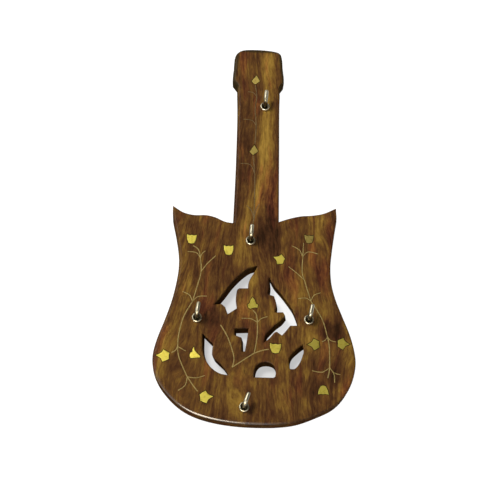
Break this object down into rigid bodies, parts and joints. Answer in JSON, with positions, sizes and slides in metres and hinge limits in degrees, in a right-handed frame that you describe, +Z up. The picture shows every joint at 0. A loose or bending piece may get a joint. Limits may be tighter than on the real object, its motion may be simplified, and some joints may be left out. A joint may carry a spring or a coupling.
{
  "type": "wall key holder",
  "caption": "Flat wooden wall key holder cut in the outline of a sitar, with a pierced leaf motif, brass leaf and wire inlay, and upturned screw hooks.",
  "frame": {"origin": "on the back face, on the centre line, at the height where the neck meets the body", "axes": "+Z up along the neck, +Y into the wall, +X to the right as seen from the front"},
  "size_m": [0.1208, 0.0208, 0.2542],
  "materials": {
    "sheesham": "satin lacquer",
    "brass": "polished flush, lightly brushed",
    "tarnished_brass": "dull, lacquered over",
    "nickel": "bright nickel plate",
    "zinc_steel": "zinc plate"
  },
  "bodies": {
    "wall_board": {"board": "sheesham", "leaf_headstock": "tarnished_brass", "leaf_neck": "tarnished_brass", "leaf_left_shoulder": "brass", "leaf_left_inner": "brass", "leaf_right_inner": "brass", "leaf_right_shoulder": "tarnished_brass", "leaf_centre": "brass", "leaf_centre_right": "brass", "leaf_left_rim": "brass", "leaf_left_lower": "brass", "leaf_left_bottom": "brass", "leaf_right_lower_inner": "brass", "leaf_right_rim": "brass", "leaf_right_bottom": "brass", "vine_left": "brass", "vine_right": "brass", "vine_centre": "brass", "vine_neck_upper": "tarnished_brass", "vine_neck_lower": "tarnished_brass", "hanging_plate": "zinc_steel", "hanging_plate_screw_1": "zinc_steel", "hanging_plate_screw_2": "zinc_steel"},
    "headstock_hook": {"hook_headstock": "nickel", "hook_headstock_collar": "nickel"},
    "shoulder_hook": {"hook_shoulder": "nickel", "hook_shoulder_collar": "nickel"},
    "left_hook": {"hook_left": "nickel", "hook_left_collar": "nickel"},
    "right_hook": {"hook_right": "nickel", "hook_right_collar": "nickel"},
    "bottom_hook": {"hook_bottom": "nickel", "hook_bottom_collar": "nickel"}
  },
  "joints": [
    {"name": "headstock_hook_turn", "type": "hinge", "parent": "wall_board", "child": "headstock_hook", "pos_m": [0.0047, -0.01, 0.0822], "axis": [0, 1, 0], "range_deg": [-90, 45]},
    {"name": "shoulder_hook_turn", "type": "hinge", "parent": "wall_board", "child": "shoulder_hook", "pos_m": [-0.0035, -0.01, -0.0129], "axis": [0, 1, 0], "range_deg": [-90, 45]},
    {"name": "left_hook_turn", "type": "hinge", "parent": "wall_board", "child": "left_hook", "pos_m": [-0.035, -0.01, -0.0639], "axis": [0, 1, 0], "range_deg": [-90, 45]},
    {"name": "right_hook_turn", "type": "hinge", "parent": "wall_board", "child": "right_hook", "pos_m": [0.0323, -0.01, -0.0632], "axis": [0, 1, 0], "range_deg": [-90, 45]},
    {"name": "bottom_hook_turn", "type": "hinge", "parent": "wall_board", "child": "bottom_hook", "pos_m": [-0.0059, -0.01, -0.1174], "axis": [0, 1, 0], "range_deg": [-90, 45]}
  ]
}
